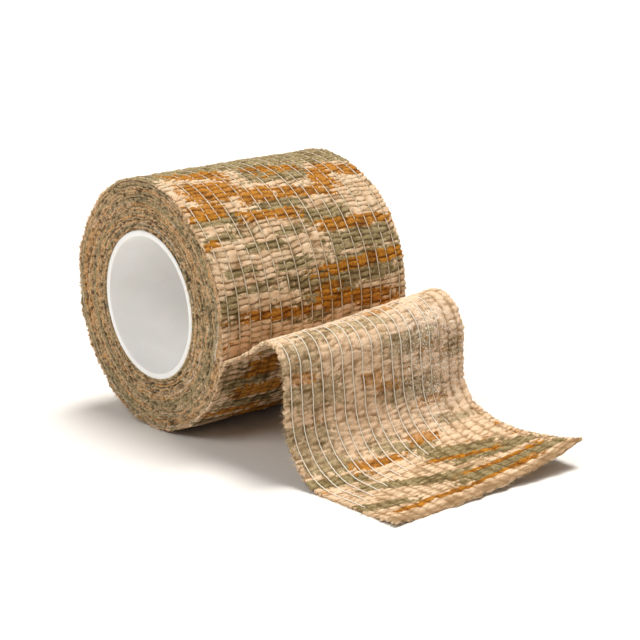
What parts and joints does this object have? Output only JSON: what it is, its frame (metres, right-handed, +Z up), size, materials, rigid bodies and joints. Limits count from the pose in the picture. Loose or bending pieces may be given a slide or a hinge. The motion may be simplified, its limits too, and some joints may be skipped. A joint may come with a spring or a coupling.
{
  "type": "stretch wrap roll",
  "caption": "Roll of crinkled self-clinging stretch fabric wrap on a plastic core, resting on its rim, with a free tail that rises, folds over a crest and lies out flat.",
  "frame": {"origin": "centre of the core's bore, half way along it", "axes": "+X along the bore and the roll's width, +Z up, the tail leaves the roll towards -Y"},
  "size_m": [0.05, 0.1078, 0.0551],
  "materials": {
    "core_plastic": "satin white moulded plastic",
    "printed_fabric": "crinkled non-woven with a blocky three-colour print",
    "inner_fabric": "crinkled non-woven, print showing through",
    "elastic_thread": "matt white elastic yarn"
  },
  "bodies": {
    "roll": {"core": "core_plastic", "wound_turns": "printed_fabric", "outer_turn_face_web": "printed_fabric", "outer_turn_inner_web": "inner_fabric", "outer_turn_threads": "elastic_thread"},
    "rise": {"rise_face_web": "printed_fabric", "rise_inner_web": "inner_fabric", "rise_threads": "elastic_thread"},
    "fall": {"fall_face_web": "printed_fabric", "fall_inner_web": "inner_fabric", "fall_threads": "elastic_thread"},
    "end_flap": {"flap_face_web": "printed_fabric", "flap_inner_web": "inner_fabric", "flap_threads": "elastic_thread"}
  },
  "joints": [
    {"name": "peel_bend", "type": "hinge", "parent": "roll", "child": "rise", "pos_m": [0, -0.02738, -0.00686], "axis": [-1, 0, 0], "range_deg": [0, 30]},
    {"name": "crest_bend", "type": "hinge", "parent": "rise", "child": "fall", "pos_m": [0, -0.04398, -0.00041], "axis": [-1, 0, 0], "range_deg": [0, 60]},
    {"name": "floor_bend", "type": "hinge", "parent": "fall", "child": "end_flap", "pos_m": [0, -0.05076, -0.02415], "axis": [-1, 0, 0], "range_deg": [0, 75]}
  ]
}
